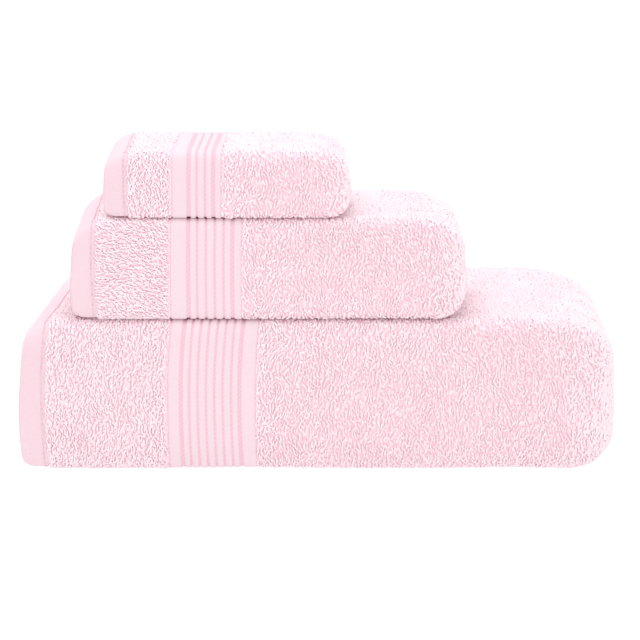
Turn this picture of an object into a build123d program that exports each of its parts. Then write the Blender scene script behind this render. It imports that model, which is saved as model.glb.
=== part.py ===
from build123d import *

import os
from dataclasses import dataclass

# A bath towel set: a washcloth on a hand towel on a bath towel, each folded flat.
# Lengths are in millimetres. +Z is up, the smooth last fold faces -Y, the end hems face -X.
# The origin is the middle of the stack's underside.
#
# Each cloth is folded three times. First its two long sides are brought together, which makes
# double cloth. Then its length is folded, which makes the stated number of double layers. Last
# the pack is folded in half round its front, so that every layer is a U lying on its side.

PARTS_FOLDER = "parts"
REST_GAP = 0.3          # air between one towel and the towel that it lies on
SIDE_HEM = 11.0         # width of the turned hem along each long side
SELVEDGE_GAP = 0.3      # air between two side hems, one above the other
CREASE = 0.4            # opening of the crease in the middle of the last fold
THREAD_WIDTH = 1.0      # width of a row of sewing
THREAD_DEPTH = 0.6      # how far a row of sewing sinks into the hem
THREAD_INSET = 1.5      # from a hem's inner edge to its row of sewing
SHARP_RADIUS = 4.0      # an inner turn with less radius than this is a plain corner


@dataclass
class Towel:
    """One folded towel: its folded size, its place, and its woven zones along the length."""

    name: str
    layers: int             # double layers from the outside to the middle of the last fold
    width: float            # folded size along X
    depth: float            # folded size along Y
    height: float           # folded size along Z
    centre_x: float         # middle of the folded towel along X
    hem: float              # flat hem at each end of the cloth
    edge_terry: float       # pile between the hem and the border
    border: float           # flat ribbed border
    front_radius: float     # turn of the outer layer round the front
    fold_radii: tuple       # lower and upper corner at the right, where the length is folded
    end_radii: tuple        # lower and upper corner at the left, where the cloth ends
    far_end_at_left: bool   # where the second end of the cloth lies
    front: float = 0.0      # y of the front fold
    base: float = 0.0       # z of the underside

    @property
    def left(self):
        return self.centre_x - self.width / 2

    @property
    def right(self):
        return self.centre_x + self.width / 2

    @property
    def back(self):
        return self.front + self.depth

    @property
    def top(self):
        return self.base + self.height

    @property
    def middle(self):
        return self.base + self.height / 2

    @property
    def thickness(self):
        """Thickness of one double layer."""
        return self.height / (2 * self.layers)

    @property
    def inner_right(self):
        """Where the inner layers stop, inside the outer layer's end fold."""
        return self.right - self.thickness


bath_towel = Towel(
    name="bath_towel", layers=4, width=356.0, depth=178.0, height=94.0, centre_x=0.0,
    hem=14.5, edge_terry=74.5, border=53.0,
    front_radius=24.0, fold_radii=(26.0, 36.0), end_radii=(12.0, 26.0), far_end_at_left=True,
)
hand_towel = Towel(
    name="hand_towel", layers=3, width=235.0, depth=106.0, height=61.0, centre_x=-29.0,
    hem=13.5, edge_terry=46.0, border=43.0,
    front_radius=16.0, fold_radii=(17.0, 25.0), end_radii=(9.0, 24.0), far_end_at_left=False,
)
washcloth = Towel(
    name="washcloth", layers=2, width=146.0, depth=80.0, height=40.0, centre_x=-54.0,
    hem=13.0, edge_terry=28.0, border=30.0,
    front_radius=11.0, fold_radii=(12.0, 17.0), end_radii=(8.0, 16.0), far_end_at_left=True,
)

OUTER_ZONES = ("end_hem", "edge_terry", "ribbed_border", "outer_layer")
FAR_ZONES = ("far_end_hem", "far_edge_terry", "far_ribbed_border")
INNER_LAYERS = {4: ("second_layer", "third_layer", "inner_layer"),
                3: ("second_layer", "inner_layer"),
                2: ("inner_layer",)}


def stack(towels):
    """Lays each towel on the one before it, with all their front folds in one plane."""
    base = 0.0
    for towel in towels:
        towel.front = -towels[0].depth / 2
        towel.base = base
        base = towel.top + REST_GAP


def prism(corners, radii, direction, length):
    """A profile with one radius for each corner, pushed along a direction."""
    outline = FilletPolyline(*corners, radius=radii, close=True)
    return extrude(make_face(outline), amount=length, dir=direction)


def inner_radius(radius, inset):
    """The radius of a turn at the given depth inside it."""
    left_over = radius - inset
    return left_over if left_over >= SHARP_RADIUS else 0.0


def folded_block(towel, inset, end_radii=(0.0, 0.0)):
    """Everything inside the given depth: rounded round the front and at the right-hand fold."""
    left = towel.left
    right = towel.inner_right if inset else towel.right
    front, back = towel.front + inset, towel.back
    low, high = towel.base + inset, towel.top - inset
    fold_low, fold_high = (inner_radius(radius, inset) for radius in towel.fold_radii)
    turn = inner_radius(towel.front_radius, inset)
    end_low, end_high = end_radii
    seen_from_front = [(left, front, low), (right, front, low), (right, front, high), (left, front, high)]
    seen_from_left = [(left, front, low), (left, back, low), (left, back, high), (left, front, high)]
    lengthwise = prism(seen_from_front, [end_low, fold_low, fold_high, end_high], (0, 1, 0), back - front)
    crosswise = prism(seen_from_left, [turn, 0, 0, turn], (1, 0, 0), right - left)
    return lengthwise & crosswise


def slab(towel, start, end):
    """All space between two places along X, from below the towel to above it."""
    length = end - start
    middle = ((start + end) / 2, (towel.front + towel.back) / 2, towel.middle)
    return Pos(*middle) * Box(length, 2 * towel.depth, 2 * towel.height)


def bar(low, high):
    """A box between two opposite corners."""
    size = [b - a for a, b in zip(low, high)]
    centre = [(a + b) / 2 for a, b in zip(low, high)]
    return Pos(*centre) * Box(*size)


def layer_block(towel, number):
    """A double layer and all that it wraps, counted from the outside, kept inside the layers round it."""
    block = folded_block(towel, number * towel.thickness)
    return block & layer_block(towel, number - 1) if number > 1 else block


def layer(towel, number):
    """One U-shaped double layer; the innermost one keeps the crease of the last fold."""
    outside = layer_block(towel, number)
    if number + 1 < towel.layers:
        return outside - layer_block(towel, number + 1)
    crease_front = towel.front + (number + 1) * towel.thickness
    crease = bar((towel.left - 1, crease_front, towel.middle - CREASE / 2),
                 (towel.right, towel.back + 1, towel.middle + CREASE / 2))
    return outside - crease


def zone_edges(towel, start, direction):
    """Places where the woven zones change, from one end of the cloth inwards."""
    edges = [start]
    for width in (towel.hem, towel.edge_terry, towel.border):
        edges.append(edges[-1] + direction * width)
    return edges


def split_zones(towel, shape, names, edges, rest_name):
    """Cuts a layer into its woven zones and what is left of it."""
    pieces = {}
    for name, start, end in zip(names, edges, edges[1:]):
        zone = slab(towel, min(start, end), max(start, end))
        pieces[name] = shape & zone
        shape = shape - zone
    pieces[rest_name] = shape
    return pieces


def selvedge_box(towel):
    """The space of the side hems: the lower half of the back, short of the end fold."""
    return ((towel.left, towel.back - SIDE_HEM, towel.base),
            (towel.right - 2 * towel.thickness - max(towel.fold_radii) / 2, towel.back, towel.middle))


def side_hems(towel):
    """The turned hems of both long sides, one above the other, with their rows of sewing."""
    low, high = selvedge_box(towel)
    pitch = towel.thickness / 2
    hems, threads = [], []
    for row in range(2 * towel.layers):
        bottom = towel.base + row * pitch
        hem = bar((low[0], low[1], bottom), (high[0], high[1], bottom + pitch - SELVEDGE_GAP))
        thread_start = low[1] + THREAD_INSET
        thread = bar((low[0], thread_start, bottom),
                     (high[0], thread_start + THREAD_WIDTH, bottom + THREAD_DEPTH))
        hems.append(hem - thread)
        threads.append(thread)
    return hems, threads


def end_hem_thread(towel, number, inner_edge, direction):
    """The row of sewing along an end hem, let into the outside of the layer that has the hem."""
    inset = number * towel.thickness
    row_far = inner_edge - direction * THREAD_INSET
    row_near = row_far - direction * THREAD_WIDTH
    skin = folded_block(towel, inset) - folded_block(towel, inset + THREAD_DEPTH)
    return skin & slab(towel, min(row_far, row_near), max(row_far, row_near))


def folded_towel(towel):
    """Every named piece of one folded towel."""
    outer_edges = zone_edges(towel, towel.left, 1)
    pieces = split_zones(towel, layer(towel, 0), OUTER_ZONES[:3], outer_edges, OUTER_ZONES[3])

    far_direction = 1 if towel.far_end_at_left else -1
    far_start = towel.left if towel.far_end_at_left else towel.inner_right
    far_edges = zone_edges(towel, far_start, far_direction)
    inner_names = INNER_LAYERS[towel.layers]
    pieces |= split_zones(towel, layer(towel, 1), FAR_ZONES, far_edges, inner_names[0])
    for number, name in enumerate(inner_names[1:], start=2):
        pieces[name] = layer(towel, number)

    outer_thread = end_hem_thread(towel, 0, outer_edges[1], 1)
    far_thread = end_hem_thread(towel, 1, far_edges[1], far_direction)
    selvedges = bar(*selvedge_box(towel))
    envelope = folded_block(towel, 0, towel.end_radii)
    pieces = {name: (shape - selvedges) & envelope for name, shape in pieces.items()}
    pieces["end_hem"] = pieces["end_hem"] - outer_thread
    pieces["far_end_hem"] = pieces["far_end_hem"] - far_thread

    hems, threads = side_hems(towel)
    pieces["side_hems"] = [hem & envelope for hem in hems]
    pieces["side_hem_sewing"] = [thread & envelope for thread in threads]
    pieces["end_hem_sewing"] = [(row - selvedges) & envelope for row in (outer_thread, far_thread)]
    return pieces


def all_solids(shape):
    """The separate solids of a shape or of a list of shapes."""
    if isinstance(shape, list):
        return [solid for item in shape for solid in item.solids()]
    return list(shape.solids())


def write_parts(towels):
    """Writes one STEP file for each named piece."""
    os.makedirs(PARTS_FOLDER, exist_ok=True)
    for towel in towels:
        for name, shape in folded_towel(towel).items():
            solids = all_solids(shape)
            whole = solids[0] if len(solids) == 1 else Compound(children=solids)
            export_step(whole, f"{PARTS_FOLDER}/{towel.name}_{name}.step")


SET = [bath_towel, hand_towel, washcloth]
stack(SET)
write_parts(SET)
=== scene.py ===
import math
from dataclasses import dataclass

import bpy
import numpy as np
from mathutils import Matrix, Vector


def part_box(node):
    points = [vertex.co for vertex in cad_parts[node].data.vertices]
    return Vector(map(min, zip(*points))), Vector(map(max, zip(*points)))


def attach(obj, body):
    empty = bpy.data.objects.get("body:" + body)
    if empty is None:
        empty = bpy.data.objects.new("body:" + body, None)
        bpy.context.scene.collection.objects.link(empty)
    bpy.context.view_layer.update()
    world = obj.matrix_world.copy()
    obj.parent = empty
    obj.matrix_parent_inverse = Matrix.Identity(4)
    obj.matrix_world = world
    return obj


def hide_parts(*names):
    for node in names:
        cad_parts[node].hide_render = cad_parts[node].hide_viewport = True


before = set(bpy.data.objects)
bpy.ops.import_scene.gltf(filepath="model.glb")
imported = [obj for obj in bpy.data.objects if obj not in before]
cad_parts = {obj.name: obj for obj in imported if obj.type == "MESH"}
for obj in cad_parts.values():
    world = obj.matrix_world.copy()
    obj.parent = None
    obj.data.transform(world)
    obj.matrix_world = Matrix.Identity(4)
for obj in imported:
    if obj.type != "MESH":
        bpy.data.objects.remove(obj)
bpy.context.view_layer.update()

# Three terry towels, each one continuous cloth with a flat hem, a ribbed border and looped pile,
# folded in its width, then in its length, then in half round its front, and stacked.
# All lengths are in metres. The front folds face -Y and the hemmed ends face -X.

RNG = np.random.default_rng(7)
MM = 0.001


# ------------ sizes of the cloth

PILE_HEIGHT = 1.7 * MM        # loops standing on the ground weave
HEM_HALF = 1.35 * MM          # half the thickness of a turned hem
BORDER_HALF = 1.35 * MM       # half the thickness of the border's ground
RIB_HEIGHT = 0.75 * MM        # satin ribs standing on the border's ground
GROOVE = 0.9 * MM             # a narrow groove between two ribs
WIDE_GROOVE = 1.9 * MM        # the first and the last groove
RIB_SLOPE = 0.7 * MM          # width of a rib's rounded side
BORDER_SLOPE = 1.2 * MM       # where the first and last rib fall off to the terry
SIDE_HEM = 11 * MM            # turned hem along each long side
PILE_PROUD = 1.2 * MM         # how far the right-hand fold's loops stand past its solid
SINK = 1.6 * MM               # how far a towel presses into the pile of the one below
PLY_FILL = 0.93               # share of its room in the stack that a ply fills
CREASE = 0.985                # keeps the two innermost plies apart
TINY = 1e-9                   # slack in comparing lengths that should be equal
FAR = 9.0                     # a distance from the cloth's end that no zone reaches


def mm(*values):
    return tuple(value * MM for value in values)


@dataclass
class Shoulder:
    """A rounded end of the folded towel: how far in it starts, how far it drops, how square it is."""

    reach: float
    drop: float
    power: float = 2.0

    def at(self, distance):
        t = np.clip(1 - distance / self.reach, 0, 1)
        return self.drop * (1 - (1 - t ** self.power) ** (1 / self.power))


@dataclass
class Cloth:
    """One towel: its cut size, how it is folded, and the shape of its folds."""

    body: str
    cut: tuple                # width and length before folding
    order: tuple              # double layers in the order that the length runs through them, 0 outside
    grooves: int              # grooves in the ribbed border
    first_groove: float       # from the border's edge to the middle of its first groove
    groove_pitch: float
    nose: float               # how far back the front fold starts to turn
    squareness: tuple         # of the front's lower and upper edge: 2 is round, more is squarer
    end_fold: tuple           # reach of the right-hand fold: underneath, in front, on top
    pull: float               # how far in the right-hand fold lies at the upper back
    slip: tuple               # how far the end hem has slipped in: underneath, front's top edge, upper back
    lean: tuple               # how far the border has: underneath, front's top edge, upper back
    left_top: Shoulder
    left_low: Shoulder
    right_top: Shoulder
    right_low: Shoulder
    lay: float                # main direction of the loops on the edge terry, from up and down
    seed: int
    rests_on: tuple = ()

    def measure(self):
        """Takes the folded towel's place and its woven zones from the frame."""
        hem_low, hem_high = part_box(self.body + "_end_hem")
        terry_low, terry_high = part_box(self.body + "_outer_layer")
        self.left, self.right = hem_low.x, terry_high.x + PILE_PROUD
        self.front, self.back = terry_low.y, terry_high.y
        self.base, self.top = terry_low.z - (SINK if self.rests_on else 0), terry_high.z
        zones = (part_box(f"{self.body}_{zone}")[1].x for zone in ("edge_terry", "ribbed_border"))
        self.hem, self.edge_end, self.border_end = (x - self.left for x in (hem_high.x, *zones))
        self.layers = len(self.order)
        self.ply = (self.top - self.base) / (4 * self.layers)
        self.spill = self.ply / 2 + 0.6 * MM
        self.run = self.back - self.front - self.nose - 2 * self.spill
        self.trace_front()

    def trace_front(self):
        """Walks once round the front fold, so that places on it can be found by length."""
        angle = np.linspace(-math.pi / 2, math.pi / 2, 721)
        power = 2 / np.where(angle < 0, self.squareness[0], self.squareness[1])
        forward = np.abs(np.cos(angle)) ** power
        up = np.sign(angle) * np.abs(np.sin(angle)) ** power
        half = (self.top - self.base) / 2
        step = np.hypot(np.diff(forward) * self.nose, np.diff(up) * half)
        self.front_at = np.concatenate([[0], np.cumsum(step)])
        self.front_forward, self.front_up = forward, up
        self.front_length = self.front_at[-1]
        self.length = 2 * self.run + self.front_length


SET = [
    Cloth("bath_towel", (0.70, 1.40), order=(0, 3, 2, 1), nose=0.019, squareness=(4.8, 12.0),
          grooves=8, first_groove=8.2 * MM, groove_pitch=5.0 * MM,
          end_fold=(0.028, 0.029, 0.046), pull=7.0 * MM,
          slip=mm(3.5, 5, 21), lean=mm(2.4, 5, 14),
          left_top=Shoulder(0.026, 0.024), left_low=Shoulder(0.011, 0.010),
          right_top=Shoulder(0.045, 0.004), right_low=Shoulder(0.016, 0.007), lay=0.0, seed=11),
    Cloth("hand_towel", (0.40, 0.70), order=(0, 2, 1), nose=0.012, squareness=(18.0, 9.0),
          grooves=6, first_groove=10.9 * MM, groove_pitch=5.25 * MM,
          end_fold=(0.017, 0.020, 0.036), pull=4.5 * MM,
          slip=mm(2.5, 2, 5), lean=mm(0.5, 0.5, 4),
          left_top=Shoulder(0.021, 0.023), left_low=Shoulder(0.010, 0.008),
          right_top=Shoulder(0.032, 0.006), right_low=Shoulder(0.016, 0.005), lay=1.2, seed=12,
          rests_on=("bath_towel",)),
    Cloth("washcloth", (0.30, 0.30), order=(0, 1), nose=0.009, squareness=(18.0, 5.5),
          grooves=4, first_groove=10.2 * MM, groove_pitch=4.9 * MM,
          end_fold=(0.012, 0.014, 0.022), pull=2.5 * MM,
          slip=mm(2, 1.5, 5), lean=mm(0.3, 0.5, 4),
          left_top=Shoulder(0.014, 0.014), left_low=Shoulder(0.009, 0.007),
          right_top=Shoulder(0.022, 0.004), right_low=Shoulder(0.012, 0.004), lay=0.0, seed=13,
          rests_on=("hand_towel",)),
]
for towel in SET:
    towel.measure()


# ------------ camera, lights and floor

CAMERA_PLACE = (0.0024, -4.424, 0.941)
CAMERA_TARGET = (0.0024, -0.089, 0.0933)
CAMERA_LENS = 417
FLOOR_HALF = 6.0


def link_object(name, data):
    obj = bpy.data.objects.new(name, data)
    bpy.context.scene.collection.objects.link(obj)
    return obj


def look_at(obj, place, target):
    """Puts a camera or a light at a place and turns it to a target."""
    direction = np.array(target) - np.array(place)
    yaw = math.atan2(-direction[0], direction[1])
    pitch = math.atan2(direction[2], math.hypot(direction[0], direction[1]))
    obj.location = place
    obj.rotation_euler = (math.pi / 2 + pitch, 0, yaw)


def make_camera():
    camera = link_object("camera", bpy.data.cameras.new("camera"))
    look_at(camera, CAMERA_PLACE, CAMERA_TARGET)
    camera.data.lens = CAMERA_LENS
    camera.data.sensor_width = 36
    camera.data.clip_end = 50
    bpy.context.scene.camera = camera


def area_light(name, place, target, size, power):
    light = bpy.data.lights.new(name, "AREA")
    light.shape = "DISK"
    light.size = size
    light.energy = power
    look_at(link_object(name, light), place, target)


def make_lights():
    """A white room with a large soft lamp overhead and a weak one in front."""
    world = bpy.data.worlds.new("studio")
    bpy.context.scene.world = world
    world.use_nodes = True
    sky = world.node_tree.nodes["Background"]
    sky.inputs["Color"].default_value = (1.0, 1.0, 1.0, 1)
    sky.inputs["Strength"].default_value = 1.05
    area_light("overhead_lamp", (-0.2, -0.35, 2.4), (0, 0, 0.05), 1.6, 19)
    area_light("front_lamp", (0.9, -2.6, 1.4), (0, 0, 0.08), 1.4, 3)
    bpy.context.scene.view_settings.view_transform = "Standard"


def make_floor():
    """A pale sweep that reads as white to the eye and still bounces a little less light than paper."""
    corners = [(x * FLOOR_HALF, y * FLOOR_HALF, 0) for x, y in ((-1, -1), (1, -1), (1, 1), (-1, 1))]
    mesh = bpy.data.meshes.new("floor")
    mesh.from_pydata(corners, [], [(0, 1, 2, 3)])
    floor = link_object("floor", mesh)
    material = bpy.data.materials.new("pale_floor")
    material.use_nodes = True
    tree = Tree(material.node_tree)
    tree.feed(tree.nodes["Principled BSDF"], {
        "Base Color": (0.25, 0.25, 0.25, 1), "Roughness": 0.9,
        "Emission Color": (1, 1, 1, 1), "Emission Strength": 0.86})
    floor.data.materials.append(material)


# ------------ node helper

class Tree:
    """A node tree with short calls for adding, setting and linking."""

    def __init__(self, tree):
        self.tree, self.nodes = tree, tree.nodes

    def feed(self, node, values):
        """Gives a node's sockets their values: plain ones are set, other nodes' outputs are linked."""
        for socket, value in values.items():
            if isinstance(value, bpy.types.NodeSocket):
                self.link(value, node.inputs[socket])
            else:
                node.inputs[socket].default_value = value

    def add(self, kind, values=None, **settings):
        node = self.nodes.new(kind)
        for name, value in settings.items():
            setattr(node, name, value)
        self.feed(node, values or {})
        return node

    def maths(self, operation, *values, **settings):
        return self.add("ShaderNodeMath", dict(enumerate(values)), operation=operation, **settings).outputs[0]

    def ranged(self, value, given, wanted):
        """Turns one range of values into another."""
        limits = {"From Min": given[0], "From Max": given[1], "To Min": wanted[0], "To Max": wanted[1]}
        return self.add("ShaderNodeMapRange", {"Value": value, **limits}).outputs[0]

    def link(self, source, target):
        self.tree.links.new(source, target)


SOCKETS = {float: "NodeSocketFloat", int: "NodeSocketInt", tuple: "NodeSocketColor"}


def new_group(name, kind, inputs, outputs):
    """A node group with named sockets: the group, its tree, what it is given and what it makes.

    An input comes with its default, or with the name of its socket type; an output with its socket type.
    """
    group = bpy.data.node_groups.new(name, kind)
    for socket, default in inputs.items():
        typed = isinstance(default, str)
        socket_type = default if typed else SOCKETS[type(default)]
        made = group.interface.new_socket(socket, in_out="INPUT", socket_type=socket_type)
        if not typed:
            made.default_value = default
    for socket, socket_type in outputs.items():
        group.interface.new_socket(socket, in_out="OUTPUT", socket_type=socket_type)
    tree = Tree(group)
    return group, tree, tree.add("NodeGroupInput").outputs, tree.add("NodeGroupOutput").inputs


# ------------ how cloth folds

UNEVEN, UNEVEN_SIZE = 0.55 * MM, 85 * MM    # how far the folded faces swell and sink, and over what length
BACK_SLIP = 3.2 * MM                        # the most that a layer's back edge has slipped forwards
PLAIN_STEP = 8.5 * MM                       # largest step between stations on plain cloth
TERRY_ROW = 3                               # the row at the inner edge of the side hem


def soft_noise(x, y, seed, scale):
    """Smooth unevenness between -1 and 1, from a few slanting waves."""
    rng = np.random.default_rng(seed)
    total = 0.0
    waves = 7
    for _ in range(waves):
        heading, phase, size = rng.uniform(0, math.tau), rng.uniform(0, math.tau), rng.uniform(0.6, 1.7)
        across = x * math.cos(heading) + y * math.sin(heading)
        total = total + np.sin(across * math.tau / (scale * size) + phase)
    return total / math.sqrt(waves) / 1.5


def wrap(c, x, along, depth, spill=0.0):
    """Lays the pack of layers round the front fold.

    x is the place along the towel, along runs from 0 at the lower back edge round the front to 1 at the
    upper back edge, depth from 0 outside to 1 in the middle, and spill is a length past the upper back edge.
    """
    place = along * c.length
    skew = (c.slip[2] - c.slip[1]) * further_back(c, along)
    top = c.top - c.left_top.at(x - c.left - skew) - c.right_top.at(c.right - x)
    low = c.base + c.left_low.at(x - c.left) + c.right_low.at(c.right - x)
    middle, half = (top + low) / 2, (top - low) / 2
    on_front = np.clip(place - c.run, 0, c.front_length)
    forward = np.interp(on_front, c.front_at, c.front_forward)
    up = np.interp(on_front, c.front_at, c.front_up)
    behind = np.where(place < c.run, c.run - place, np.maximum(place - c.run - c.front_length, 0))
    core = 1 - depth * CREASE
    uneven = soft_noise(x, place, c.seed, UNEVEN_SIZE) * UNEVEN * np.clip(core, 0, 1)
    uneven = uneven * np.clip((top - low) / (c.top - c.base) * 2 - 1, 0, 1)
    pull = back_pull(c, x, along, depth) * np.clip(behind / 0.03, 0, 1)
    y = c.front + c.nose - (c.nose * core - uneven) * forward + behind - pull + spill
    z = middle + half * core * up - np.abs(up) * np.sign(up) * np.maximum(uneven, -uneven * 0.3)
    return np.stack(np.broadcast_arrays(x, y, z), axis=-1)


def back_pull(c, x, along, depth):
    """How far each layer's back edge has slipped forwards under its neighbours."""
    rng = np.random.default_rng(c.seed + 50)
    slips = rng.uniform(0.0, BACK_SLIP, (2, c.layers + 1))
    slips[:, 0] *= 0.3
    levels = np.arange(c.layers + 1) / c.layers
    lower, upper = (np.interp(depth, levels, row) for row in slips)
    waver = soft_noise(x, depth * 0.2, c.seed + 3, 0.16) * 0.8 * MM
    return np.where(along < 0.5, lower, upper) + waver + 0.8 * MM


def steps(start, end, size):
    """Even stations from start up to, but not at, end."""
    count = max(1, math.ceil(abs(end - start) / size))
    return list(np.linspace(start, end, count, endpoint=False))


def cross_stations(c):
    """Stations across the cloth: along, the turn from outer ply (90 degrees) to inner (-90), flat place."""
    front_end = c.run + c.front_length
    last_step = c.length - 4 * MM
    one_ply = [0.0, 2.5 * MM, 8 * MM, SIDE_HEM, SIDE_HEM + 1.2 * MM]
    one_ply += steps(20 * MM, c.run, 9 * MM)
    one_ply += steps(c.run, front_end, c.front_length / (26 + 2 * c.layers))
    one_ply += steps(front_end, last_step, PLAIN_STEP) + [last_step, c.length]
    one_ply = np.array(one_ply) / c.length
    quarter = math.pi / 2
    turn = np.linspace(quarter, -quarter, 9)[1:-1]
    along = np.concatenate([one_ply, np.ones(len(turn)), one_ply[::-1]])
    angle = np.concatenate([np.full(len(one_ply), quarter), turn, np.full(len(one_ply), -quarter)])
    half_width = c.cut[0] / 2
    back_across = 2 * half_width - one_ply[::-1] * half_width
    flat = np.concatenate([one_ply * half_width, np.full(len(turn), half_width), back_across])
    return along, angle, flat


def groove_list(c):
    """(middle, width) of each groove of the border, from the cloth's end."""
    start = c.edge_end + c.first_groove
    last = c.grooves - 1
    return [(start + i * c.groove_pitch, WIDE_GROOVE if i in (0, last) else GROOVE) for i in range(c.grooves)]


def rib_relief(c, distance):
    """Height of the satin ribs at a distance from the cloth's end, from 0 in a groove to 1 on a rib."""
    relief = np.ones_like(distance)
    for middle, width in groove_list(c):
        gap = np.abs(distance - middle) - width / 2
        relief = np.minimum(relief, np.clip(gap / RIB_SLOPE, 0, 1) ** 0.6)
    edge = np.minimum(distance - c.edge_end, c.border_end - distance)
    return relief * np.clip(edge / BORDER_SLOPE, 0, 1)


def end_stations(c, fine):
    """Distances from the cloth's end through its hem, edge terry and border."""
    hem = [0.0, 1.2 * MM, 3.5 * MM] + steps(6 * MM, c.hem, 3 * MM) + [c.hem]
    halfway = (c.hem + c.edge_end) / 2
    terry = [c.hem + 0.5 * MM] + steps(c.hem + 1.5 * MM, halfway, 3.6 * MM)
    terry += steps(halfway, c.edge_end - 1 * MM, 5.5 * MM)
    if not fine:
        border = [c.edge_end] + steps(c.edge_end + 4 * MM, c.border_end, 8 * MM)
        return hem + terry + [c.edge_end - 1 * MM] + border
    border = [c.edge_end, c.edge_end + BORDER_SLOPE, c.edge_end + 3.5 * MM, c.edge_end + 5.5 * MM]
    grooves = groove_list(c)
    for i, (middle, width) in enumerate(grooves):
        half = width / 2
        border += [middle - half - RIB_SLOPE, middle - half - 0.3 * MM, middle - half, middle,
                   middle + half, middle + half + 0.3 * MM, middle + half + RIB_SLOPE]
        if i < len(grooves) - 1:
            border.append((middle + grooves[i + 1][0]) / 2)
    last = grooves[-1][0] + WIDE_GROOVE / 2
    border += steps(last + 2.4 * MM, c.border_end - BORDER_SLOPE, 2.4 * MM) + [c.border_end - BORDER_SLOPE]
    return hem + terry + [c.edge_end - 1 * MM] + sorted(border)


def edge_wander(c, along, angle, number):
    """How far in from the left a layer's free end lies: the plies don't quite line up."""
    deeper = min(number, 1)
    inner_ply = (1 - np.sin(angle)) / 2
    slipped = by_row(c, along, (c.slip[0], c.slip[1], c.slip[1])) * (1 - 0.7 * deeper)
    skewed = (c.slip[2] - c.slip[1]) * further_back(c, along) * (1 - 0.15 * deeper - 0.1 * inner_ply)
    base = number * 1.6 * MM + slipped + skewed
    waver = soft_noise(along * c.length, inner_ply * 0.05, c.seed + 9 + number, 0.11)
    return base + inner_ply * 1.4 * MM + (waver + 1) * 0.5 * MM


def front_rise(c, along):
    """0 at half height, 1 at the front's upper and lower edges and beyond."""
    place = along * c.length - c.run - c.front_length / 2
    return np.clip(np.abs(place) / (c.front_length / 2), 0, 1) ** 2


def further_back(c, along):
    """0 up to the front's upper edge, growing to 1 at the upper back edge."""
    return np.clip((along * c.length - c.run - c.front_length) / c.run, 0, 1)


def by_row(c, along, amounts):
    """An amount for every row, from its values underneath, at the front's top edge and at the upper back."""
    low, high, back = amounts
    upper = along * c.length > c.run + c.front_length / 2
    return np.where(upper, high, low) * front_rise(c, along) + (back - high) * further_back(c, along)


def smooth_step(values):
    """Eased from 0 to 1, flat outside."""
    t = np.clip(values, 0, 1)
    return t * t * (3 - 2 * t)


END_THICKNESS = 2.0 * MM   # the folded end's own thickness, which widens the hem as seen from the front


def arc_places(c, along, start, stop, depth, distances):
    """x for each distance from a free left end, for every row: shape (rows, distances).

    The end lies where start says; from there the rows even out, to a straight inner edge of the hem and
    then to the border's lean.
    """
    xs = start[:, None] + (stop - start)[:, None] * np.linspace(0, 1, 260) ** 1.5
    points = wrap(c, xs, along[:, None], np.full_like(xs, depth))
    walked = np.cumsum(np.linalg.norm(np.diff(points, axis=1), axis=2), axis=1)
    walked = np.concatenate([np.zeros((len(xs), 1)), walked], axis=1)
    fraction = np.array(distances)
    places = np.array([np.interp(fraction, row, x) for row, x in zip(walked, xs)])
    onwards = smooth_step((fraction - c.hem) / (0.75 * (c.edge_end - c.hem)))[None, :]
    offset = by_row(c, along, c.slip)[:, None] * (1 - onwards) + by_row(c, along, c.lean)[:, None] * onwards
    even = c.left + fraction[None, :] + offset + END_THICKNESS * (1 - onwards)
    share = smooth_step(fraction / (1.2 * c.hem))[None, :]
    return places * (1 - share) + even * share, walked[:, -1]


def fold_reach(c, along):
    """Reach of the right-hand fold at each place round the front."""
    place = along * c.length
    stops = [c.run, c.run + c.front_length / 2, c.run + c.front_length]
    return np.interp(place, stops, c.end_fold)


# A column is a station along the cloth: x0, x_lean, depth0, depth_lean, its distance from the nearer end of
# the cloth, and its layer, or -1 in a turn. A ply at offset o lies at x0 + o * x_lean, depth0 + o * depth_lean.

def free_end_columns(c, columns, along, angle, number, right_stop, fine, inwards):
    """A layer with a free end at the left; inwards runs from the end to the fold, else the other way."""
    start = c.left + edge_wander(c, along, angle, number)
    depth = (number + 0.25) / c.layers
    ends = end_stations(c, fine)
    near, walked = arc_places(c, along, start, right_stop, depth, ends + [c.border_end])
    rest = steps(0, 1, 1 / max(4, math.ceil((right_stop.mean() - c.left - c.border_end) / (7.5 * MM))))
    far = [near[:, -1] + (right_stop - near[:, -1]) * t for t in rest]
    xs = [near[:, i] for i in range(len(ends))] + far
    distances = ends + [c.border_end + t * (walked.mean() - c.border_end) for t in rest]
    sign = 1 if inwards else -1
    for x, distance in list(zip(xs, distances))[::sign]:
        columns.append((x, np.zeros_like(x), (number + 0.5) / c.layers, -sign / c.layers, distance, number))


def plain_columns(c, columns, start, stop, number, sign, free_end=False):
    """A layer between two folds, or up to a free end inside the right-hand fold."""
    length = abs((stop - start).mean())
    stations = steps(0, 1, PLAIN_STEP / length)[1:]
    distances = [FAR] * len(stations)
    if free_end:
        from_end = sorted(end_stations(c, False), reverse=True)
        stations = [t for t in stations if t < 1 - (from_end[0] + 5 * MM) / length]
        distances = [FAR] * len(stations) + from_end
        stations = stations + [1 - d / length for d in from_end]
    for t, distance in zip(stations, distances):
        x = start + (stop - start) * t
        columns.append((x, np.zeros_like(x), (number + 0.5) / c.layers, -sign / c.layers, distance, number))


def fold_columns(c, columns, centre, reach, thickness, first, second, side, count):
    """The turn between two layers, at the right (side 1) or the left (side -1)."""
    downwards = 1 if second > first else -1
    outside = downwards * side
    half_depth = abs(second - first) / (2 * c.layers)
    middle = (first + second + 1) / (2 * c.layers)
    arm = reach - thickness / 2
    for turn in np.linspace(0, math.pi, count):
        x0 = centre + side * arm * math.sin(turn)
        x_lean = np.full_like(x0, side * outside * thickness * math.sin(turn))
        columns.append((x0, x_lean, middle - downwards * half_depth * math.cos(turn),
                        -downwards * outside * math.cos(turn) / c.layers, FAR, -1))


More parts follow.
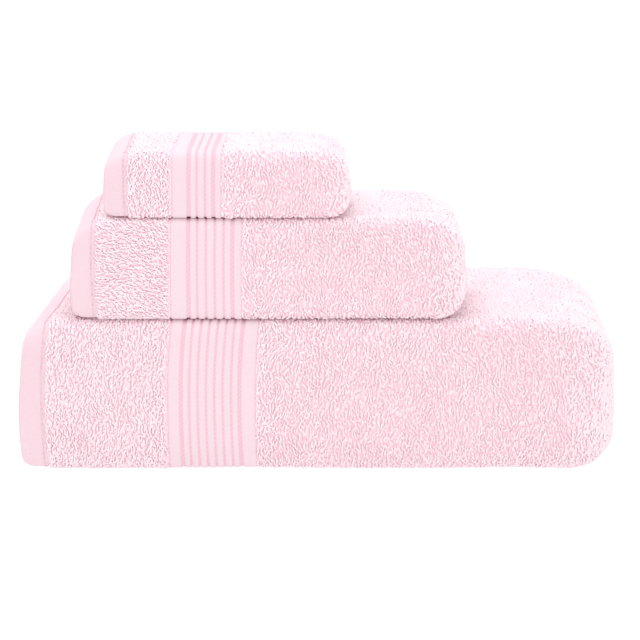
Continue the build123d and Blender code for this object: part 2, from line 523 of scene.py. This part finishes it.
OUTER_TURN, INNER_TURN, LEFT_TURN = 22, 12, 11     # columns in each turn


def length_columns(c, along, angle):
    """All stations along the cloth, through every layer and every turn between them."""
    columns = []
    reach = fold_reach(c, along)
    right_end = c.right - c.pull * further_back(c, along)
    nose = np.minimum(reach / 2, 2.6 * c.ply)
    right = right_end - reach
    free_end_columns(c, columns, along, angle, 0, right, True, True)
    fold_columns(c, columns, right, reach, nose, c.order[0], c.order[1], 1, OUTER_TURN)
    if c.layers == 2:
        free_end_columns(c, columns, along, angle, 1, right, False, False)
        return columns
    left_reach = np.full_like(along, 2.4 * c.ply)
    left = c.left + 5.5 * MM + left_reach + soft_noise(along, along, c.seed + 21, 0.4) * 0.7 * MM
    plain_columns(c, columns, right, left, c.order[1], -1)
    fold_columns(c, columns, left, left_reach, 2.2 * c.ply, c.order[1], c.order[2], -1, LEFT_TURN)
    if c.layers == 3:
        plain_columns(c, columns, left, right_end - nose - 6 * MM, c.order[2], 1, True)
        return columns
    inner_reach = np.maximum(0.45 * (reach - nose), 0.5 * reach - nose / 2)
    inner_nose = np.minimum(nose, 0.9 * inner_reach)
    inner_right = right_end - nose - 2 * MM - inner_reach
    plain_columns(c, columns, left, inner_right, c.order[2], 1)
    fold_columns(c, columns, inner_right, inner_reach, inner_nose, c.order[2], c.order[3], 1, INNER_TURN)
    free_end_columns(c, columns, along, angle, 1, inner_right, False, False)
    return columns


ZONES = {"terry": 0, "border": 1, "hem": 2}


def zone_of(c, distance):
    """The weave at a distance from the cloth's end."""
    if distance < c.hem:
        return "hem"
    if c.edge_end <= distance < c.border_end:
        return "border"
    return "terry"


@dataclass
class Folded:
    """The folded cloth as two grids of points, its outer and inner faces, with its flat coordinates."""

    outer: np.ndarray
    inner: np.ndarray
    distance: np.ndarray
    layer: np.ndarray
    along: np.ndarray
    angle: np.ndarray
    flat_u: np.ndarray
    flat_v: np.ndarray


def piled_rows(c, along, angle):
    """1 where the outer ply carries standing loops, 0 where it lies hidden underneath, smooth between."""
    start = (c.run - 30 * MM) / c.length
    return np.clip((along - start) * c.length / (10 * MM), 0, 1) * (angle > 0)


def half_thickness(c, distance, layer, along, angle):
    """Half thickness of the cloth on its outer and its inner side, for every row and column."""
    full = c.ply / 2 * PLY_FILL
    rows, cols = len(along), len(distance)
    outer, inner = np.full((rows, cols), full), np.full((rows, cols), full)
    outside = (layer == 0) | (layer == -1)
    piled = piled_rows(c, along, angle)[:, None] * outside[None, :]
    outer = outer - piled * (PILE_HEIGHT - c.ply / 2 * (1 - PLY_FILL))
    hem = distance <= c.hem + TINY
    border = (distance >= c.edge_end - TINY) & (distance <= c.border_end + TINY)
    relief = rib_relief(c, distance) * RIB_HEIGHT
    outer[:, hem] = np.minimum(outer[:, hem], HEM_HALF)
    inner[:, hem] = HEM_HALF
    outer[:, border] = BORDER_HALF + relief[border]
    inner[:, border] = np.minimum(inner[:, border], BORDER_HALF + 0.2 * MM)
    side = (along * c.length <= SIDE_HEM + TINY)[:, None]
    outer, inner = np.where(side, np.minimum(outer, HEM_HALF), outer), np.where(side, HEM_HALF, inner)
    return outer, inner


def fold_cloth(c):
    """Every point of the folded cloth."""
    along, angle, flat_v = cross_stations(c)
    columns = length_columns(c, along, angle)
    x0, x_lean, depth0, depth_lean, distance, layer = (np.array(values) for values in zip(*columns))
    x0, x_lean = x0.T, x_lean.T
    outer_half, inner_half = half_thickness(c, distance, layer, along, angle)
    double = 2 * c.ply
    faces = []
    for sign, half in ((1, outer_half), (-1, inner_half)):
        offset = (0.25 + sign * half / double) * np.sin(angle)[:, None]
        spill = (c.spill + sign * half) * np.cos(angle)[:, None]
        x = x0 + offset * x_lean
        depth = depth0[None, :] + offset * depth_lean[None, :]
        faces.append(wrap(c, x, along[:, None], depth, spill))
    mid = (faces[0] + faces[1]) / 2
    middle_row = mid[len(along) // 4]
    walked = np.concatenate([[0], np.cumsum(np.linalg.norm(np.diff(middle_row, axis=0), axis=1))])
    flat_u = walked / walked[-1] * c.cut[1]
    return Folded(faces[0], faces[1], distance, layer, along, angle, flat_u, flat_v)


# ------------ the sheet as a mesh

def edge_direction(line, neighbour):
    away = line - neighbour
    return away / np.maximum(np.linalg.norm(away, axis=1, keepdims=True), TINY)


def sheet_mesh(c, folded, name):
    """One closed mesh: the outer face, the inner face and rounded rims."""
    rows, cols = folded.outer.shape[:2]
    count = rows * cols
    index = np.arange(count).reshape(rows, cols)
    points = [folded.outer.reshape(-1, 3), folded.inner.reshape(-1, 3)]
    quads, zones = [], []
    corner = (index[:-1, :-1], index[:-1, 1:], index[1:, 1:], index[1:, :-1])
    middle = (folded.distance[:-1] + folded.distance[1:]) / 2
    column_zone = np.array([ZONES[zone_of(c, d)] for d in middle])
    zone_grid = np.tile(column_zone, (rows - 1, 1))
    side = np.minimum(folded.along[:-1], folded.along[1:]) * c.length < SIDE_HEM - TINY
    zone_grid[side, :] = ZONES["hem"]
    outer_faces = np.stack(corner, axis=-1).reshape(-1, 4)
    quads += [outer_faces, outer_faces[:, ::-1] + count]
    zones += [zone_grid.ravel(), zone_grid.ravel()]
    flat = np.stack(np.meshgrid(folded.flat_u, folded.flat_v), axis=-1).reshape(-1, 2)
    flats = [flat, flat]
    used = 2 * count
    borders = [(index[:, 0], index[:, 1], 1), (index[:, -1], index[:, -2], -1),
               (index[0, :], index[1, :], -1), (index[-1, :], index[-2, :], 1)]
    for line, inside, turn in borders:
        a, b = points[0][line], points[1][line]
        thickness = np.linalg.norm(a - b, axis=1, keepdims=True)
        out = edge_direction((a + b) / 2, (points[0][inside] + points[1][inside]) / 2)
        points.append((a + b) / 2 + out * (0.35 * thickness))
        flats.append(flat[line])
        middle_line = used + np.arange(len(line))
        used += len(line)
        for first, second in ((line, middle_line), (middle_line, line + count)):
            strip = np.stack([first[:-1], first[1:], second[1:], second[:-1]], axis=-1)
            quads.append(strip if turn > 0 else strip[:, ::-1])
            zones.append(np.full(len(strip), ZONES["hem"]))
    mesh = mesh_from(name, np.concatenate(points), np.concatenate(quads), [GROUND, BORDER, HEM])
    mesh.polygons.foreach_set("material_index", np.concatenate(zones).astype(np.int32))
    relief = np.tile(rib_relief(c, np.minimum(folded.distance, 1.0)), (rows, 1)).ravel()
    rib = mesh.attributes.new("rib", "FLOAT", "POINT")
    rib.data.foreach_set("value", np.resize(np.concatenate([relief, relief]), used).astype(np.float32))
    uv = mesh.uv_layers.new(name="flat_cloth")
    loops = np.zeros(len(mesh.loops), np.int32)
    mesh.loops.foreach_get("vertex_index", loops)
    uv.data.foreach_set("uv", np.concatenate(flats)[loops].astype(np.float32).ravel())
    return mesh


def mesh_from(name, points, quads, materials):
    """A smooth-shaded mesh from arrays of points and four-cornered faces."""
    mesh = bpy.data.meshes.new(name)
    for material in materials:
        mesh.materials.append(material)
    mesh.vertices.add(len(points))
    mesh.vertices.foreach_set("co", points.astype(np.float32).ravel())
    mesh.loops.add(4 * len(quads))
    mesh.loops.foreach_set("vertex_index", quads.astype(np.int32).ravel())
    mesh.polygons.add(len(quads))
    mesh.polygons.foreach_set("loop_start", np.arange(len(quads), dtype=np.int32) * 4)
    mesh.polygons.foreach_set("use_smooth", np.ones(len(quads), bool))
    mesh.update(calc_edges=True)
    mesh.validate()
    return mesh


# ------------ loops and stitches

def yarn_group():
    """Geometry nodes that stand a small arch of yarn on every point of a mesh."""
    inputs = {"Geometry": "NodeSocketGeometry", "Length": 0.004, "Height": 0.002, "Yarn Radius": 0.0008,
              "Sideways": 0.001, "Foot Depth": 0.0006, "Seed": 1, "Segments": 5, "Sides": 5,
              "Material": "NodeSocketMaterial"}
    outputs = {"Geometry": "NodeSocketGeometry"}
    group, tree, given, made = new_group("yarn_arches", "GeometryNodeTree", inputs, outputs)
    join = tree.add("GeometryNodeGeometryToInstance")
    for side in (1, -1):
        tree.link(yarn_arch(tree, given, side), join.inputs[0])
    pick = tree.add("FunctionNodeRandomValue", {"Seed": given["Seed"]}, data_type="INT")
    for socket in pick.inputs:
        if socket.name in ("Min", "Max") and socket.type == "INT":
            socket.default_value = 0 if socket.name == "Min" else 1
    picked = [socket for socket in pick.outputs if socket.type == "INT"][0]
    stand = tree.add("FunctionNodeAlignRotationToVector", {
        "Vector": named_vector(tree, "outward")}, axis="Z")
    turn = tree.add("FunctionNodeAlignRotationToVector", {
        "Rotation": stand.outputs[0], "Vector": named_vector(tree, "lie")}, axis="X", pivot_axis="Z")
    place = tree.add("GeometryNodeInstanceOnPoints", {
        "Points": given["Geometry"], "Instance": join.outputs[0], "Pick Instance": True,
        "Instance Index": picked, "Rotation": turn.outputs[0], "Scale": named_vector(tree, "size")})
    realize = tree.add("GeometryNodeRealizeInstances", {0: place.outputs[0]})
    paint = tree.add("GeometryNodeSetMaterial", {
        "Geometry": realize.outputs[0], "Material": given["Material"]})
    tree.link(paint.outputs[0], made[0])
    return group


def named_vector(tree, name):
    node = tree.add("GeometryNodeInputNamedAttribute", {"Name": name}, data_type="FLOAT_VECTOR")
    return node.outputs["Attribute"]


def yarn_arch(tree, given, side):
    """One arch: a bent tube that leans to one side, with its height stored as the attribute crown."""
    half = tree.maths("MULTIPLY", given["Length"], 0.5)
    back = tree.maths("MULTIPLY", half, -1)
    foot = tree.maths("MULTIPLY", given["Foot Depth"], -1)
    rise = tree.maths("MULTIPLY", given["Height"], 1.3)
    lean = tree.maths("MULTIPLY", given["Sideways"], side)
    spots = {"Start": (back, 0, foot), "Start Handle": (back, lean, rise),
             "End Handle": (half, lean, rise), "End": (half, 0, foot)}
    ends = {name: tree.add("ShaderNodeCombineXYZ", dict(enumerate(spot))).outputs[0]
            for name, spot in spots.items()}
    curve = tree.add("GeometryNodeCurvePrimitiveBezierSegment", {**ends, "Resolution": given["Segments"]})
    ring = tree.add("GeometryNodeCurvePrimitiveCircle", {
        "Resolution": given["Sides"], "Radius": given["Yarn Radius"]})
    tube = tree.add("GeometryNodeCurveToMesh", {"Curve": curve.outputs[0], "Profile Curve": ring.outputs[0]})
    smooth = tree.add("GeometryNodeSetShadeSmooth", {"Geometry": tube.outputs[0]})
    where = tree.add("GeometryNodeInputPosition")
    split = tree.add("ShaderNodeSeparateXYZ", {0: where.outputs[0]})
    level = tree.maths("DIVIDE", split.outputs["Z"], given["Height"])
    store = tree.add("GeometryNodeStoreNamedAttribute", {
        "Geometry": smooth.outputs[0], "Name": "crown", "Value": level}, data_type="FLOAT", domain="POINT")
    return store.outputs[0]


def stand_yarn(name, sites, settings, material):
    """Stands yarn on the given sites with the node group and keeps the result as a plain mesh piece."""
    bed = bpy.data.meshes.new(name + "_bed")
    bed.vertices.add(len(sites["place"]))
    bed.vertices.foreach_set("co", sites["place"].astype(np.float32).ravel())
    for key in ("outward", "lie", "size"):
        attribute = bed.attributes.new(key, "FLOAT_VECTOR", "POINT")
        attribute.data.foreach_set("vector", sites[key].astype(np.float32).ravel())
    tone = bed.attributes.new("tone", "FLOAT", "POINT")
    tone.data.foreach_set("value", sites["tone"].astype(np.float32))
    holder = link_object(name + "_holder", bed)
    modifier = holder.modifiers.new("yarn", "NODES")
    modifier.node_group = YARN
    sockets = {item.name: item.identifier for item in YARN.interface.items_tree if item.in_out == "INPUT"}
    for key, value in {**settings, "Material": material}.items():
        modifier[sockets[key]] = value
    bpy.context.view_layer.update()
    graph = bpy.context.evaluated_depsgraph_get()
    mesh = bpy.data.meshes.new_from_object(holder.evaluated_get(graph))
    mesh.name = name
    bpy.data.objects.remove(holder)
    bpy.data.meshes.remove(bed)
    return link_object(name, mesh)


def grid_normals(points):
    """Outward normals of a grid of points whose rows run across and whose columns run along."""
    across = np.gradient(points, axis=0)
    lengthwise = np.gradient(points, axis=1)
    normal = np.cross(lengthwise, across)
    return normal / np.maximum(np.linalg.norm(normal, axis=2, keepdims=True), 1e-12)


def sample(grid, rows, cols):
    """Reads a grid at places between its points."""
    r0, c0 = np.floor(rows).astype(int), np.floor(cols).astype(int)
    r0, c0 = np.clip(r0, 0, grid.shape[0] - 2), np.clip(c0, 0, grid.shape[1] - 2)
    fr, fc = (rows - r0)[:, None], (cols - c0)[:, None]
    low = grid[r0, c0] * (1 - fc) + grid[r0, c0 + 1] * fc
    high = grid[r0 + 1, c0] * (1 - fc) + grid[r0 + 1, c0 + 1] * fc
    return low * (1 - fr) + high * fr


def scatter(folded, rows, cols, pitch, rng):
    """Fractional grid places about one pitch apart over part of the cloth, each moved a little."""
    part = folded.outer[rows[0]:rows[1] + 1, cols[0]:cols[1] + 1]
    down = np.linalg.norm(np.diff(part, axis=0), axis=2).mean(axis=1)
    over = np.linalg.norm(np.diff(part, axis=1), axis=2).mean(axis=0)
    down, over = np.concatenate([[0], np.cumsum(down)]), np.concatenate([[0], np.cumsum(over)])
    v = np.arange(pitch[1] / 2, down[-1], pitch[1])
    u = np.arange(pitch[0] / 2, over[-1], pitch[0])
    grid_u, grid_v = np.meshgrid(u, v)
    grid_u[1::2] += pitch[0] / 2
    grid_u = grid_u.ravel() + rng.uniform(-0.42, 0.42, grid_u.size) * pitch[0]
    grid_v = grid_v.ravel() + rng.uniform(-0.42, 0.42, grid_v.size) * pitch[1]
    row_at = np.interp(grid_v, down, np.arange(rows[0], rows[1] + 1))
    col_at = np.interp(grid_u, over, np.arange(cols[0], cols[1] + 1))
    return row_at, col_at


def pile_sites(c, folded, row_at, col_at, lay, rng):
    """Everything a loop needs to know about its place: where, which way out, which way it lies, how big."""
    place = sample(folded.outer, row_at, col_at)
    outward = sample(grid_normals(folded.outer), row_at, col_at)
    outward /= np.linalg.norm(outward, axis=1, keepdims=True)
    across = sample(np.gradient(folded.outer, axis=0), row_at, col_at)
    across -= (across * outward).sum(axis=1, keepdims=True) * outward
    across /= np.maximum(np.linalg.norm(across, axis=1, keepdims=True), 1e-12)
    level = np.cross(outward, across)
    x, y = place[:, 0], place[:, 1] + place[:, 2]
    swirl = lay + SWIRL * soft_noise(x, y, c.seed + 31, SWIRL_SIZE) + rng.normal(0, OWN_TURN, len(x))
    lie = across * np.cos(swirl)[:, None] + level * np.sin(swirl)[:, None]
    outward = outward + rng.normal(0, OWN_LEAN, outward.shape)
    length = rng.uniform(0.70, 1.30, len(x))
    size = np.stack([length, rng.uniform(0.85, 1.2, len(x)), rng.uniform(0.80, 1.12, len(x))], axis=1)
    return {"place": place, "outward": outward, "lie": lie, "size": size, "tone": rng.random(len(x))}


def keep_sites(sites, mask):
    return {key: value[mask] for key, value in sites.items()}


# ------------ materials

def dye_and_shade_group():
    """Slightly uneven dye and painted shade: two tones of one pink mixed by soft cloudy noise and by a given
    shade, which carries painted shade where a caller passes it.
    """
    white = (1, 1, 1, 1)
    inputs = {"Light": white, "Deep": white, "Shade": 0.0, "Cloud Scale": 40.0, "Cloud Amount": 0.2}
    group, tree, given, made = new_group("dye_and_painted_shade", "ShaderNodeTree", inputs, {"Color": "NodeSocketColor"})
    where = tree.add("ShaderNodeTexCoord")
    noise = tree.add("ShaderNodeTexNoise", {
        "Vector": where.outputs["Object"], "Scale": given["Cloud Scale"], "Detail": 3.0})
    centred = tree.maths("SUBTRACT", noise.outputs["Fac"], 0.5)
    cloud = tree.maths("MULTIPLY_ADD", centred, given["Cloud Amount"], given["Shade"], use_clamp=True)
    # a mix node's colour sockets share their names with its number sockets, so they go by their places
    mix = tree.add("ShaderNodeMix", {0: cloud, 6: given["Light"], 7: given["Deep"]}, data_type="RGBA")
    tree.link(mix.outputs[2], made[0])
    return group


def weave_group():
    """Crossing threads on the flat cloth: a height and a mask, from the cloth's own flat coordinates."""
    inputs = {"Along Pitch": 0.001, "Across Pitch": 0.001, "Slant": 0.0, "Unevenness": 0.3}
    outputs = {"Height": "NodeSocketFloat", "Mask": "NodeSocketFloat"}
    group, tree, given, made = new_group("crossed_threads", "ShaderNodeTree", inputs, outputs)
    where = tree.add("ShaderNodeUVMap", uv_map="flat_cloth")
    split = tree.add("ShaderNodeSeparateXYZ", {0: where.outputs[0]})
    noise = tree.add("ShaderNodeTexNoise", {"Vector": where.outputs[0], "Scale": 900.0, "Detail": 2.0})
    slanted = tree.maths("MULTIPLY_ADD", split.outputs["Y"], given["Slant"], split.outputs["X"])
    waves = []
    for source, pitch in ((slanted, "Along Pitch"), (split.outputs["Y"], "Across Pitch")):
        turns = tree.maths("DIVIDE", source, given[pitch])
        bent = tree.maths("MULTIPLY_ADD", noise.outputs["Fac"], given["Unevenness"], turns)
        waves.append(tree.maths("SINE", tree.maths("MULTIPLY", bent, math.tau)))
    height = tree.maths("MULTIPLY_ADD", tree.maths("MULTIPLY", *waves), 0.5, 0.5)
    tree.link(height, made["Height"])
    tree.link(height, made["Mask"])
    return group


PINK_LIGHT = (0.82, 0.645, 0.70, 1)
PINK_DEEP = (0.82, 0.46, 0.56, 1)
PILE_LIGHT = (0.99, 0.872, 0.915, 1)
# the deep pink of the pile's painted shade, towards the loops' feet and on the terry ground
PILE_PAINTED_SHADE = (0.99, 0.65, 0.75, 1)
PAINTED_GLOW_PINK = (1.0, 0.42, 0.56, 1)         # painted glow: pink emission that stands in for light scattered back out of the pile's depth
# strength of the painted glow on the loops and the terry ground
PILE_PAINTED_GLOW = 0.032


def cloth_material(name, roughness, sheen, painted_glow=0.0):
    """A plain cotton surface with an optional painted glow from its emission; what varies over it is linked by
    the caller.
    """
    material = bpy.data.materials.new(name)
    material.use_nodes = True
    tree = Tree(material.node_tree)
    cotton = tree.nodes["Principled BSDF"]
    tree.feed(cotton, {
        "Roughness": roughness, "Specular IOR Level": 0.25,
        "Sheen Weight": sheen, "Sheen Roughness": 0.45, "Sheen Tint": (1.0, 0.93, 0.96, 1),
        "Emission Color": PAINTED_GLOW_PINK, "Emission Strength": painted_glow})
    return material, tree, cotton


def dyed_and_shaded(tree, cotton, shade, cloud_scale, cloud_amount, light=PINK_LIGHT, deep=PINK_DEEP):
    # the given shade may be painted shade as well as the cloth's own pattern or tone
    dye = tree.add("ShaderNodeGroup", node_tree=DYE_AND_SHADE)
    tree.feed(dye, {"Light": light, "Deep": deep, "Shade": shade,
                    "Cloud Scale": cloud_scale, "Cloud Amount": cloud_amount})
    tree.feed(cotton, {"Base Color": dye.outputs[0]})


def bumped(tree, cotton, height, distance):
    bump = tree.add("ShaderNodeBump", {"Height": height, "Distance": distance, "Strength": 1.0})
    tree.feed(cotton, {"Normal": bump.outputs[0]})


def woven(tree, along_pitch, across_pitch, slant, unevenness):
    weave = tree.add("ShaderNodeGroup", node_tree=WEAVE)
    tree.feed(weave, {"Along Pitch": along_pitch, "Across Pitch": across_pitch,
                      "Slant": slant, "Unevenness": unevenness})
    return weave.outputs


def stored(tree, name):
    return tree.add("ShaderNodeAttribute", attribute_name=name).outputs["Fac"]


def loop_material():
    """Looped yarn: pale on its crowns, painted deeper pink towards its feet as painted shade among the loops,
    with a faint painted glow; no two loops quite alike.
    """
    material, tree, cotton = cloth_material("pile_loops", 0.92, 0.25, PILE_PAINTED_GLOW)
    # painted shade: the lower a point lies on its loop, down among its neighbours, the deeper its pink; tone
    # adds each loop's own random difference
    depth = tree.ranged(stored(tree, "crown"), (0.95, -0.1), (0.0, 0.75))
    own = tree.maths("MULTIPLY_ADD", stored(tree, "tone"), 0.22, depth)
    dyed_and_shaded(tree, cotton, own, 60.0, 0.25, PILE_LIGHT, PILE_PAINTED_SHADE)
    return material


def ground_material():
    """Terry where its loops lie pressed: the ground between standing loops and the hidden layers' edges,
    painted mostly deep pink as painted shade for the shadow among the loops, with a curl pattern and a faint
    painted glow.
    """
    material, tree, cotton = cloth_material("terry_ground", 0.95, 0.15, PILE_PAINTED_GLOW)
    flat = tree.add("ShaderNodeUVMap", uv_map="flat_cloth")
    curls = tree.add("ShaderNodeTexVoronoi", {"Vector": flat.outputs[0], "Scale": 420.0, "Randomness": 1.0},
                     feature="SMOOTH_F1").outputs["Distance"]
    # painted shade: the ground stays between 0.45 and 0.9 of the way to the deep pink, for the shadow among the
    # loops; its curls are pattern
    dyed_and_shaded(tree, cotton, tree.ranged(curls, (0.1, 0.8), (0.45, 0.9)), 60.0, 0.25, PILE_LIGHT, PILE_PAINTED_SHADE)
    bumped(tree, cotton, tree.maths("SUBTRACT", 1.0, curls), 1.2 * MM)
    return material


def border_material():
    """The ribbed border: smooth satin ribs with a slanting twill in the grooves, which are painted deeper pink,
    partly the twill's own colour and partly painted shade in their recess.
    """
    material, tree, cotton = cloth_material("border_satin", 0.62, 0.3)
    weave = woven(tree, 2.6 * MM, 1.3 * MM, 0.9, 0.12)
    # painted shade: the grooves are painted deeper pink, partly the twill's own colour and partly the shade in
    # their recess
    groove = tree.ranged(stored(tree, "rib"), (0.9, 0.1), (0.0, 1.0))
    thread = tree.ranged(weave["Mask"], (0.75, 0.25), (0.38, 0.98))
    dyed_and_shaded(tree, cotton, tree.maths("MULTIPLY", groove, thread), 40.0, 0.10)
    bumped(tree, cotton, weave["Height"], 0.10 * MM)
    return material


def hem_material():
    """The turned hem: a plain weave whose threads run towards the cloth's end."""
    material, tree, cotton = cloth_material("hem_weave", 0.85, 0.2)
    weave = woven(tree, 3.1 * MM, 1.25 * MM, 0.0, 0.25)
    dyed_and_shaded(tree, cotton, tree.ranged(weave["Mask"], (1.0, 0.0), (0.0, 0.34)), 30.0, 0.3)
    bumped(tree, cotton, weave["Height"], 0.12 * MM)
    return material


def thread_material():
    """Sewing thread, a little deeper than the cloth."""
    material, tree, cotton = cloth_material("sewing_thread", 0.6, 0.2)
    dyed_and_shaded(tree, cotton, stored(tree, "tone"), 80.0, 0.3)
    return material


# ------------ making the towels

LOOP = {"Length": 2.5 * MM, "Height": 1.0 * MM, "Yarn Radius": 0.62 * MM, "Sideways": 0.9 * MM,
        "Foot Depth": 0.3 * MM, "Segments": 3, "Sides": 3}
STITCH = {"Length": 2.6 * MM, "Height": 0.45 * MM, "Yarn Radius": 0.28 * MM, "Sideways": 0.05 * MM,
          "Foot Depth": 0.3 * MM, "Segments": 5, "Sides": 5}
LOOP_PITCH = (1.2 * MM, 1.6 * MM)
HIDDEN_PITCH = (1.6 * MM, 2.2 * MM)    # at the back, the sides and underneath
LOOPS_IN_PIECE = 9000
COVERED_SHARE = 0.62                   # of the loops are kept where another towel lies on them
COVER_MARGIN = 9 * MM                  # in from the upper towel's outline
SWIRL, SWIRL_SIZE = 0.34, 24 * MM      # how far the loops' direction turns in patches, and the patches' size
OWN_TURN, OWN_LEAN = 0.32, 0.13        # how far each loop strays from its neighbours
STITCH_PITCH = 3.1 * MM
STITCH_INSET = 2.2 * MM                # from the hem's inner edge


def covered(c, above, place):
    """True where another towel lies on this one."""
    if above is None:
        return np.zeros(len(place), bool)
    x, y, z = place.T
    return ((z > c.top - 6 * MM) & (x > above.left + COVER_MARGIN) & (x < above.right - COVER_MARGIN)
            & (y > above.front + COVER_MARGIN) & (y < above.back - COVER_MARGIN))


def pile_regions(c, folded):
    """Parts of the outer face that carry standing loops, as (name, rows, columns, lay, pitch)."""
    rows = len(folded.along)
    first_row = int(np.searchsorted(folded.along[: rows // 2], (c.run - 16 * MM) / c.length))
    last_row = int(np.argmin(folded.angle > -0.6))
    bulge_row = int(np.argmin(folded.angle > 1.2))
    distance, layer = folded.distance, folded.layer
    outer = np.where(layer == 0)[0]
    edge = [i for i in outer if c.hem - TINY <= distance[i] <= c.edge_end - 0.9 * MM]
    body = [i for i in outer if distance[i] >= c.border_end - TINY]
    turns = np.where(layer == -1)[0]
    turn_start, turn_end = turns[0], outer[-1] + OUTER_TURN
    underside = folded.outer[TERRY_ROW]
    left_turn = [i for i in turns if underside[i, 0] < (c.left + c.right) / 2]
    last = len(layer) - 1
    inner_end = [i for i in range(turn_end, last) if distance[i] > c.border_end][-1]
    far_edge = [i for i in range(inner_end + 1, last) if c.hem < distance[i] < c.edge_end]
    parts = [("edge", (first_row, last_row), (edge[0], edge[-1]), c.lay, LOOP_PITCH),
             ("main", (first_row, last_row), (body[0], turn_end), 0.0, LOOP_PITCH),
             ("lower_end", (TERRY_ROW, first_row), (turn_start - 2, turn_end), 0.0, HIDDEN_PITCH),
             ("back", (bulge_row, last_row), (turn_end + 1, inner_end), 0.0, HIDDEN_PITCH),
             ("far_edge", (bulge_row, last_row), (far_edge[0], far_edge[-1]), 0.0, HIDDEN_PITCH)]
    if left_turn:
        parts.append(("left_fold", (TERRY_ROW, bulge_row), (left_turn[0], left_turn[-1]), 0.0, HIDDEN_PITCH))
    return parts


def make_pile(c, folded, above):
    """Standing loops over the outer face, in pieces of a workable size."""
    pieces = []
    for name, rows, cols, lay, pitch in pile_regions(c, folded):
        row_at, col_at = scatter(folded, rows, cols, pitch, RNG)
        sites = pile_sites(c, folded, row_at, col_at, lay, RNG)
        thinned = covered(c, above, sites["place"]) & (RNG.random(len(row_at)) > COVERED_SHARE)
        sites = keep_sites(sites, ~thinned)
        count = math.ceil(len(sites["tone"]) / LOOPS_IN_PIECE)
        order = np.argsort(sites["place"][:, 0], kind="stable")
        for number, part in enumerate(np.array_split(order, count)):
            settings = {**LOOP, "Seed": c.seed + number}
            piece = stand_yarn(f"{c.body}_{name}_pile_{number + 1}", keep_sites(sites, part), settings, LOOPS)
            pieces.append(piece)
    return pieces


def make_stitches(c, folded):
    """The row of sewing along the end hem, from the lower back edge round the front to the upper one."""
    last_row = int(np.argmin(folded.angle > 0.5))
    column = np.interp(c.hem - STITCH_INSET, folded.distance[:20], np.arange(20))
    line = sample(folded.outer, np.arange(last_row, dtype=float), np.full(last_row, column))
    walked = np.concatenate([[0], np.cumsum(np.linalg.norm(np.diff(line, axis=0), axis=1))])
    at = np.interp(np.arange(2 * MM, walked[-1], STITCH_PITCH), walked, np.arange(last_row))
    in_column = np.full(len(at), column)
    sites = pile_sites(c, folded, at, in_column, 0.0, RNG)
    sites["lie"] = sample(np.gradient(folded.outer, axis=0), at, in_column)
    sites["outward"] = sample(grid_normals(folded.outer), at, in_column)
    sites["size"] = np.ones_like(sites["size"])
    return stand_yarn(f"{c.body}_end_hem_stitches", sites, {**STITCH, "Seed": 1}, THREAD)


def make_towel(c, above):
    folded = fold_cloth(c)
    sheet = link_object(c.body + "_cloth", sheet_mesh(c, folded, c.body + "_cloth"))
    pile = make_pile(c, folded, above)
    stitches = make_stitches(c, folded)
    nodes = [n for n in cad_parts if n.startswith(c.body + "_")]
    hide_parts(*nodes)
    for piece in [sheet, stitches] + pile:
        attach(piece, c.body)


YARN = yarn_group()
DYE_AND_SHADE = dye_and_shade_group()
WEAVE = weave_group()
LOOPS = loop_material()
GROUND = ground_material()
BORDER = border_material()
HEM = hem_material()
THREAD = thread_material()

make_camera()
make_lights()
make_floor()
for number, towel in enumerate(SET):
    make_towel(towel, SET[number + 1] if number + 1 < len(SET) else None)
